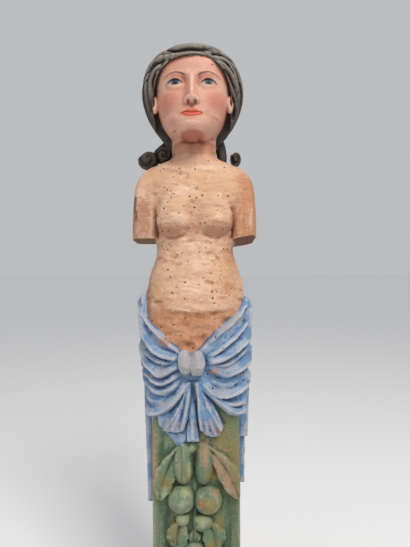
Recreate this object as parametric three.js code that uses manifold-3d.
// Ship figurehead, carved from one block of wood and painted. A woman with cut-off arms rises from a
// square post. A cloth knotted in front hangs at her hips, and leaves and fruit hang down the post.
//
// Millimetres, +Z up. She faces -Y and her right arm is at -X. The origin is on the foot's underside,
// midway across and 36 mm in front of the back. The back is one flat plane, which goes against the
// ship's stem.
import * as THREE from "three";
import { mergeVertices } from "three/addons/utils/BufferGeometryUtils.js";
import Module from "manifold-3d";

// Driving dimensions
const HEIGHT = 590;
const BACK_Y = 36;
const POST_HALF = 39.5;
const POST_FRONT_Y = -34;
const POST_TOP_Z = 300;
const POST_TAPER = 1 / 200; // loss of half width for each millimetre downwards
const PLINTH = { half: 50, front: -45, height: 20 };
const HEAD = { x: -1, y: -4, z: 540, tilt: 0.1 };
const ARM_CUT_Z = 405;
const KNOT = { x: -3.5, y: -45, z: 296 };
const RING_SIDES = 28;

const wasm = await Module();
wasm.setup();

const { hull, union } = wasm.Manifold;
const { sign, abs, sin, cos, pow, PI, max, min } = Math;

// A closed three.js geometry as a manifold-3d solid.
function solid(geometry) {
  const bare = geometry.clone();
  bare.deleteAttribute("normal");
  bare.deleteAttribute("uv");
  const merged = mergeVertices(bare, 1e-3);
  return new wasm.Manifold(
    new wasm.Mesh({
      numProp: 3,
      vertProperties: merged.attributes.position.array,
      triVerts: new Uint32Array(merged.index.array),
    }),
  );
}

// A solid skin over rings of points, closed by a fan at each end. Rings run anticlockwise
// as seen from the last ring.
function loft(rings) {
  const sides = rings[0].length;
  const points = rings.flat();
  const index = [];
  for (let r = 0; r + 1 < rings.length; r++) {
    for (let s = 0; s < sides; s++) {
      const a = r * sides + s;
      const b = r * sides + ((s + 1) % sides);
      index.push(a, b, b + sides, a, b + sides, a + sides);
    }
  }
  for (const [ring, first, last] of [
    [rings[0], 0, false],
    [rings.at(-1), (rings.length - 1) * sides, true],
  ]) {
    const middle = points.length;
    points.push(ring.reduce((sum, p) => sum.add(p), new THREE.Vector3()).divideScalar(sides));
    for (let s = 0; s < sides; s++) {
      const a = first + s;
      const b = first + ((s + 1) % sides);
      index.push(...(last ? [a, b, middle] : [b, a, middle]));
    }
  }
  const geometry = new THREE.BufferGeometry().setFromPoints(points);
  geometry.setIndex(index);
  return solid(geometry);
}

// Level rings with a width, a front and a back, squarer as `square` grows above 2.
function ovalRing({ z, half, front, back, square }, sides = RING_SIDES) {
  return Array.from({ length: sides }, (_, i) => {
    const t = (2 * PI * i) / sides;
    const c = sign(cos(t)) * pow(abs(cos(t)), 2 / square);
    const s = sign(sin(t)) * pow(abs(sin(t)), 2 / square);
    return new THREE.Vector3(half * c, s < 0 ? -front * s : back * s, z);
  });
}

// Smooth values between stations that each hold z and the numbers of a ring.
function stationAt(stations, z) {
  const last = stations.length - 1;
  const i = max(0, min(last - 1, stations.findIndex((s) => s.z > z) - 1));
  const near = [max(i - 1, 0), i, i + 1, min(i + 2, last)].map((k) => stations[k]);
  const t = (z - near[1].z) / (near[2].z - near[1].z);
  const result = { z };
  for (const key of Object.keys(stations[0]).filter((k) => k !== "z")) {
    const [p0, p1, p2, p3] = near.map((s) => s[key]);
    const curve = 2 * p1 + (p2 - p0) * t + (2 * p0 - 5 * p1 + 4 * p2 - p3) * t * t;
    result[key] = (curve + (3 * p1 - p0 - 3 * p2 + p3) * t * t * t) / 2;
  }
  return result;
}

function loftStations(stations, rings, sides) {
  const low = stations[0].z;
  const high = stations.at(-1).z;
  const heights = Array.from({ length: rings }, (_, i) => low + ((high - low) * i) / (rings - 1));
  return loft(heights.map((z) => ovalRing(stationAt(stations, min(z, high - 1e-3)), sides)));
}

function ellipsoid([x, y, z], [rx, ry, rz], { turnY = 0, turnX = 0, sides = 10 } = {}) {
  const geometry = new THREE.SphereGeometry(1, sides, Math.round(sides * 0.66));
  geometry.rotateX(PI / 2).scale(rx, ry, rz);
  geometry.rotateX(turnX).rotateY(turnY).translate(x, y, z);
  return solid(geometry);
}

function box(low, high) {
  const size = high.map((h, i) => h - low[i]);
  const geometry = new THREE.BoxGeometry(...size);
  return solid(geometry.translate(...high.map((h, i) => (h + low[i]) / 2)));
}

// A round-backed ridge along a smooth line. `wide` is its half width along the surface, `high` how
// far it stands out and `root` how deep it is set in. `swell` is how late it thins towards its ends.
function ridge(line, { wide, high, root = 9, steps = 7, swell = 0.35, outward = fromTrunk }) {
  const curve = new THREE.CatmullRomCurve3(line.map((p) => new THREE.Vector3(...p)));
  const sections = Array.from({ length: steps + 1 }, (_, i) => {
    const at = curve.getPointAt(i / steps);
    const along = curve.getTangentAt(i / steps);
    const across = new THREE.Vector3().crossVectors(along, outward(at)).normalize();
    const up = new THREE.Vector3().crossVectors(across, along).normalize();
    const size = max(0.12, pow(sin(PI * (0.04 + (0.92 * i) / steps)), swell));
    const place = (side, rise) =>
      at.clone().addScaledVector(across, wide * size * side).addScaledVector(up, rise);
    const back = [0, 45, 90, 135, 180].map((degrees) => {
      const turn = (degrees * PI) / 180;
      return place(cos(turn), high * size * sin(turn));
    });
    return [...back, place(-1, -root), place(1, -root)].map((p) => p.toArray());
  });
  return union(sections.slice(1).map((section, i) => hull([...sections[i], ...section])));
}

// Directions out of the trunk, the front and the head, at a point on them
const fromTrunk = (p) => new THREE.Vector3(p.x * 0.6, min(p.y, -1), 0).normalize();
const fromFront = () => new THREE.Vector3(0, -1, 0);
const fromHead = (p) => new THREE.Vector3(p.x, p.y, p.z * 0.7).normalize();
const fromSide = (p) => new THREE.Vector3(p.x, 0, 0).normalize();

// A rounded form drawn back into the wood behind it, so that it has no undercut.
const rooted = (shape, [x, y, z]) => hull([shape, shape.translate([x, y, z])]);

// The trunk, from the post up to the neck
const TRUNK = [
  { z: 236, half: 38, front: -33, back: 40, square: 6 },
  { z: 262, half: 41, front: -36, back: 41, square: 4 },
  { z: 290, half: 46, front: -39, back: 42, square: 2.8 },
  { z: 318, half: 47.5, front: -40, back: 43, square: 2.4 },
  { z: 341, half: 46.5, front: -38.5, back: 43, square: 2.3 },
  { z: 360, half: 44, front: -35.5, back: 42, square: 2.2 },
  { z: 375, half: 41.5, front: -31.5, back: 41, square: 2.2 },
  { z: 390, half: 38, front: -28.5, back: 40, square: 2.2 },
  { z: 406, half: 38.5, front: -28, back: 40, square: 2.3 },
  { z: 425, half: 42, front: -29.5, back: 41, square: 2.5 },
  { z: 445, half: 47, front: -29, back: 41, square: 2.5 },
  { z: 460, half: 49, front: -25, back: 38, square: 2.5 },
  { z: 471, half: 44, front: -20, back: 33, square: 2.4 },
  { z: 478, half: 32, front: -17, back: 29, square: 2.2 },
  { z: 482, half: 20, front: -15, back: 25, square: 2.1 },
];

// The front surface of trunk and post, where carving is laid on.
function frontY(x, z) {
  const post = POST_FRONT_Y;
  if (z < TRUNK[0].z) return post;
  const ring = stationAt(TRUNK, min(z, TRUNK.at(-1).z - 1e-3));
  const share = min(abs(x) / ring.half, 0.985);
  const y = ring.front * pow(1 - pow(share, ring.square), 1 / ring.square);
  return z < POST_TOP_Z && abs(x) < POST_HALF - 3 ? min(y, post) : y;
}

const onFront = (points, lift = 0) =>
  points.map(([x, z, extra = 0]) => [x, frontY(x, z) - lift - extra, z]);

function post() {
  const half = (z) => POST_HALF - (POST_TOP_Z - z) * POST_TAPER;
  const ring = (z) => ({ z, half: half(z), front: POST_FRONT_Y, back: BACK_Y + 1, square: 14 });
  return loft([PLINTH.height - 2, 120, POST_TOP_Z - 18, POST_TOP_Z].map((z) => ovalRing(ring(z))));
}

// A low foot: a square slab, a step and a cove up to the post.
function plinth() {
  const { half, front, height } = PLINTH;
  const steps = [[0, 0], [height - 4, 0], [height, 3], [height + 5, 4], [height + 13, 10.5]];
  const rings = steps.map(([z, inset]) =>
    ovalRing({ z, half: half - inset, front: front + inset, back: BACK_Y + 4, square: 18 }),
  );
  return loft(rings);
}

function breasts() {
  return [-1, 1].flatMap((side) => [
    rooted(ellipsoid([side * 19, -21.5, 422.5], [17, 13, 16.5], { sides: 16 }), [side * -2, 10, 3]),
    rooted(ellipsoid([side * 17, -19, 437], [19, 11, 25], { sides: 14 }), [0, 10, 0]),
  ]);
}

// An upper arm from the shoulder, sawn off just above the elbow. `reach` swings its end outwards.
function arm(side, reach) {
  const ring = (z, x, y, half, depth) =>
    ovalRing({ z, half, front: -depth, back: depth, square: 2.8 }, 16).map((p) =>
      p.add(new THREE.Vector3(side * x, y, 0)),
    );
  const stump = loft([
    ring(ARM_CUT_Z - 12, 47 + reach, -2, 11.5, 16),
    ring(ARM_CUT_Z + 10, 47 + reach * 0.9, -1, 12, 17),
    ring(440, 45 + reach * 0.5, 0, 13.5, 19),
    ring(456, 42, 2, 15, 19.5),
    ring(468, 38, 3, 13, 15),
    ring(476, 34, 4, 6, 7),
  ]);
  const [tilt, lean, drop] = side < 0 ? [0.1, 0, 1.5] : [0.197, 0.168, 2];
  const saw = new THREE.BoxGeometry(80, 120, 40).translate(0, 0, -20);
  saw.rotateX(-tilt).rotateY(-lean).translate(side * 47, -2, ARM_CUT_Z - drop);
  return stump.subtract(solid(saw));
}

function neck() {
  const ring = (z, y, half, depth) =>
    ovalRing({ z, half, front: -depth, back: depth, square: 2.1 }, 16).map((p) =>
      p.add(new THREE.Vector3(0, y, 0)),
    );
  const rings = [[468, 4, 26, 22], [478, 3, 22.5, 19.5], [486, 2, 21.5, 19], [504, 1, 22, 20]];
  return loft(rings.map((values) => ring(...values)));
}

// Face and hair are level rings about the head's own centre.
const FACE = [
  { z: -48.5, half: 7, front: -31, back: 2, square: 2.2 },
  { z: -45, half: 13.5, front: -34.5, back: 6, square: 2.3 },
  { z: -37, half: 20.5, front: -33.5, back: 12, square: 2.3 },
  { z: -27, half: 27, front: -33, back: 20, square: 2.3 },
  { z: -14, half: 33, front: -34, back: 28, square: 2.3 },
  { z: -2, half: 35.8, front: -33, back: 33, square: 2.2 },
  { z: 9, half: 36.6, front: -34.5, back: 34, square: 2.2 },
  { z: 21, half: 36.5, front: -34, back: 35, square: 2.2 },
  { z: 32, half: 33, front: -29, back: 32, square: 2.1 },
  { z: 42, half: 20, front: -17, back: 20, square: 2 },
  { z: 45, half: 8, front: -7, back: 8, square: 2 },
];
const HAIR = [
  { z: -56, half: 18, front: -1, back: 24, square: 2.2 },
  { z: -50, half: 22, front: -4, back: 27, square: 2.2 },
  { z: -39, half: 30, front: -10, back: 33, square: 2.2 },
  { z: -26, half: 39.5, front: -19, back: 37, square: 2.2 },
  { z: -10, half: 46, front: -30, back: 39, square: 2.2 },
  { z: 5, half: 46.5, front: -34.5, back: 40, square: 2.2 },
  { z: 19, half: 44, front: -36, back: 39, square: 2.2 },
  { z: 31, half: 38.5, front: -34.5, back: 36, square: 2.1 },
  { z: 40, half: 30, front: -28, back: 29, square: 2 },
  { z: 46, half: 19, front: -18, back: 19, square: 2 },
  { z: 48.5, half: 7, front: -7, back: 7, square: 2 },
];
const tiltHead = (shape) =>
  shape.rotate([-HEAD.tilt * (180 / PI), 0, 0]).translate([HEAD.x, HEAD.y, HEAD.z]);

function face() {
  const pair = (make) => [-1, 1].map(make);
  const sockets = pair((side) => ellipsoid([side * 15.5, -39, -1], [11.5, 8, 7.5], { sides: 14 }));
  const nose = ridge([[0, -32, 7], [0, -35.5, -6], [0, -38.5, -16], [0, -37, -19.5]], {
    wide: 4.6, high: 5.2, swell: 0.2, outward: fromFront,
  });
  const brows = pair((side) =>
    ridge([[side * 3, -33.5, 6], [side * 14, -32, 9.5], [side * 27, -24, 5]], {
      wide: 3.2, high: 1.8, outward: fromHead,
    }),
  );
  const eyes = pair((side) => ellipsoid([side * 15.5, -26.5, -1.5], [9, 6.5, 6], { sides: 14 }));
  const lids = pair((side) =>
    ridge([[side * 24.5, -27, -2.5], [side * 20, -31, 2], [side * 13.5, -32.3, 2.6], [side * 7, -30, -3]], {
      wide: 1.3, high: 1.7, steps: 6, outward: fromHead,
    }),
  );
  const wings = pair((side) =>
    rooted(ellipsoid([side * 5, -36, -18], [3.4, 3.8, 3.4], { sides: 8 }), [0, 6, 0]),
  );
  const lips = [
    ridge([[-10.5, -31.5, -30], [-4, -34.8, -28.2], [4, -34.8, -28.2], [10.5, -31.5, -30]], {
      wide: 2.1, high: 2.4, outward: fromFront,
    }),
    ridge([[-8, -32.5, -32.5], [0, -34.2, -33.6], [8, -32.5, -32.5]], {
      wide: 2.5, high: 2.8, outward: fromFront,
    }),
  ];
  const chin = rooted(ellipsoid([0, -30.5, -42], [9, 6.5, 6.5], { sides: 12 }), [0, 8, 3]);
  const ears = pair((side) => ellipsoid([side * 36.5, -10, -13], [3.6, 5.5, 9], { sides: 8 }));
  const block = loftStations(FACE, 16, 24).subtract(union(sockets));
  return [block, nose, ...brows, ...eyes, ...lids, ...wings, ...lips, chin, ...ears];
}

// A point on the hair, `turn` degrees round from the front, as the strands are laid out.
function onHair(side, [turn, z]) {
  const { half, front, back, square } = stationAt(HAIR, z);
  const t = (turn * PI) / 180;
  const x = half * pow(sin(t), 2 / square);
  const y = pow(abs(cos(t)), 2 / square) * (cos(t) > 0 ? front : back);
  return [side * x, y, z];
}

// Each strand runs back from the parting over the ear to the nape, as [turn, z].
const STRANDS = [
  { line: [[3, 34], [26, 33], [56, 20], [77, -4], [92, -24], [112, -44]], wide: 6, high: 4.6 },
  { line: [[5, 42], [40, 37], [72, 22], [90, 2], [107, -20], [128, -42]], wide: 4.6, high: 4 },
  { line: [[20, 46], [62, 41], [90, 25], [106, 4], [124, -18], [142, -44]], wide: 4.6, high: 3.6 },
  { line: [[80, 46], [104, 36], [124, 14], [142, -12], [160, -44]], wide: 4.6, high: 3.4 },
];

// Hair waves back from a middle parting, rolls over the ears and gathers at the nape.
function hair() {
  const window = new THREE.CylinderGeometry(1, 1, 1, 24);
  window.scale(36.4, 54, 44).translate(0, -36, -13);
  const strands = [-1, 1].flatMap((side) =>
    STRANDS.map(({ line, wide, high }) =>
      ridge(line.map((p) => onHair(side, p)), { wide, high, root: 7, outward: fromHead, swell: 0.5 }),
    ),
  );
  return [loftStations(HAIR, 16, 24).subtract(solid(window)), ...strands];
}

// Locks end in scrolls that lie on the shoulders.
function curls() {
  const lock = (points, size) =>
    ridge(points, { ...size, root: 6, steps: 6, swell: 0.2, outward: fromFront });
  return [
    lock([[-20, 16, 503], [-27, 13, 494], [-27, 10, 482]], { wide: 8.5, high: 5 }),
    lock([[-27, 14, 497], [-38, 13, 492], [-46, 12, 483], [-42, 11, 474]], { wide: 7.5, high: 5 }),
    lock([[20, 16, 503], [26, 13, 494], [27, 10, 480]], { wide: 8, high: 5 }),
    lock([[28, 15, 496], [37, 14, 490], [42, 12, 480]], { wide: 6.5, high: 4.5 }),
  ];
}

// Each fold runs from a hip down to its lowest point and up into the knot, as [x, z] on the body.
const FOLDS = [
  // her right hip
  { line: [[-48, 356], [-43, 333], [-31, 319], [-17, 308], [-9, 302]], wide: 4.5, high: 4 },
  { line: [[-52, 340], [-50, 318], [-40, 305], [-25, 299], [-12, 295]], wide: 6, high: 6 },
  { line: [[-52, 318], [-45, 297], [-35, 287], [-25, 284], [-11, 291]], wide: 7, high: 6.5 },
  { line: [[-51, 300], [-43, 284], [-32, 276], [-21, 278], [-9, 287]], wide: 6, high: 6 },
  { line: [[-51, 284], [-42, 273], [-30, 268], [-18, 272], [-7, 283]], wide: 6, high: 5.5 },
  { line: [[-50, 264], [-41, 254], [-29, 253], [-15, 262], [-6, 278]], wide: 8, high: 6 },
  // her left hip
  { line: [[47, 347], [39, 336], [27, 325], [12, 313], [2, 304]], wide: 4.5, high: 4 },
  { line: [[51, 333], [46, 314], [34, 304], [18, 296], [6, 294]], wide: 7, high: 6 },
  { line: [[52, 312], [45, 294], [33, 285], [23, 283], [8, 291]], wide: 7, high: 6.5 },
  { line: [[52, 290], [45, 273], [32, 267], [18, 266], [3, 281]], wide: 7, high: 6.5 },
  { line: [[50, 268], [43, 254], [32, 252], [17, 262], [1, 277]], wide: 8, high: 6 },
];

// The opening of the cloth over the belly, from hip to hip, as [x, z]
const OPENING = [
  [-49, 358], [-43, 333], [-31, 320], [-17, 308], [-7, 302], [4, 306], [20, 320], [39, 337], [48, 349],
];

// The cloth itself, a thick band round the hips under its folds.
function band() {
  const rings = [252, 268, 286, 306, 330, 356].map((z) => {
    const { half, front, back, square } = stationAt(TRUNK, z);
    return ovalRing({ z, half: half + 3, front: front - 3, back, square });
  });
  const edge = [...OPENING, [70, 400], [-70, 400]];
  const belly = hull([-80, 80].flatMap((y) => edge.map(([x, z]) => [x, y, z])));
  return loft(rings).subtract(belly);
}

function drapery() {
  const folds = FOLDS.map(({ line, wide, high }) => ridge(onFront(line), { wide, high }));
  const tail = (points, size) => ridge(onFront(points), { ...size, swell: 0.15, outward: fromFront });
  const tails = [
    tail([[-6, 280, 2], [-12, 260, 2], [-19, 243, 1], [-22, 233, 0]], { wide: 7.5, high: 5.5 }),
    tail([[0, 280, 2], [6, 260, 2], [12, 243, 2], [15, 230, 1]], { wide: 9.5, high: 6.5 }),
    tail([[-3, 284, 2], [-3, 250, 0], [-3, 223, 0]], { wide: 6, high: 3.5 }),
  ];
  const curtain = (points, size) => ridge(points, { ...size, root: 14, swell: 0.15, outward: fromSide });
  const curtains = [
    curtain([[-46, 6, 330], [-45, 5, 270], [-42, 6, 215], [-40, 7, 159]], { wide: 13, high: 6.5 }),
    curtain([[-44, 26, 325], [-42, 26, 265], [-38, 27, 184]], { wide: 9, high: 5 }),
    curtain([[46, 5, 330], [46, 5, 270], [43, 6, 232], [42, 7, 218]], { wide: 14, high: 6.5 }),
    curtain([[44, 14, 270], [41, 14, 215], [38, 15, 172]], { wide: 12, high: 5.5 }),
  ];
  const lobes = [-1, 1].map((side) =>
    rooted(
      ellipsoid([KNOT.x + side * 5.5, KNOT.y, KNOT.z], [6.8, 8.5, 13], { turnY: side * 0.12 }),
      [0, 14, 0],
    ),
  );
  return [band(), ...folds, ...tails, ...curtains, ...lobes];
}

// Leaves and fruit lie on the post's front, as [x, z] with half sizes.
const FRUIT = [
  { at: [-11, 204], size: [10, 11, 18] },
  { at: [7, 204], size: [9, 11, 18] },
  { at: [-12.5, 175], size: [12.5, 15, 12.5] },
  { at: [10.5, 174], size: [12.5, 15, 12.5] },
  { at: [-10.5, 157], size: [7, 11, 7] },
  { at: [6.5, 155], size: [9, 12, 9] },
  { at: [-2, 128], size: [10, 13, 10] },
  { at: [-1, 105], size: [7.5, 10, 13] },
];
const LEAVES = [
  { line: [[-17, 221], [-27, 196], [-32, 173]], wide: 8 },
  { line: [[8, 221], [24, 198], [36, 174]], wide: 8 },
  { line: [[-10, 160], [-17, 146], [-18, 131]], wide: 9 },
  { line: [[8, 158], [15, 144], [18, 132]], wide: 9 },
  { line: [[-5, 130], [-14, 116], [-20, 104]], wide: 7 },
  { line: [[2, 130], [11, 116], [17, 104]], wide: 7 },
];

function festoon() {
  const fruit = FRUIT.map(({ at: [x, z], size }) =>
    rooted(ellipsoid([x, POST_FRONT_Y - 1, z], size, { sides: 12 }), [0, 8, 0]),
  );
  const leaves = LEAVES.map(({ line, wide }) =>
    ridge(onFront(line, 1), { wide, high: 5, swell: 0.7, outward: fromFront }),
  );
  return [...fruit, ...leaves];
}

const carved = union([
  loftStations(TRUNK, 20),
  post(),
  plinth(),
  ...breasts(),
  arm(-1, 1.5),
  arm(1, 0),
  neck(),
  tiltHead(union([...face(), ...hair()])),
  ...curls(),
  ...drapery(),
  ...festoon(),
]);
const sawn = carved.intersect(box([-100, -100, 0], [100, BACK_Y, HEIGHT]));

function geometryOf(shape) {
  const { vertProperties, triVerts } = shape.getMesh();
  return new THREE.BufferGeometry()
    .setAttribute("position", new THREE.BufferAttribute(vertProperties, 3))
    .setIndex(new THREE.BufferAttribute(triVerts, 1));
}

// The joined skin, without the slivers left where forms meet
const largest = (parts) => parts.reduce((a, b) => (a.volume() > b.volume() ? a : b));
const skin = solid(geometryOf(largest(sawn.simplify(0.05).decompose())));
const block = largest(skin.simplify(0.15).decompose());

// The finished carving as one named mesh
const geometry = geometryOf(block);
geometry.computeVertexNormals();
const paintedWood = new THREE.MeshStandardMaterial({ color: 0xd2a27e, roughness: 0.62, metalness: 0 });
const figurehead = new THREE.Mesh(geometry, paintedWood);
figurehead.name = "figurehead";

const group = new THREE.Group();
group.add(figurehead);
export default group;
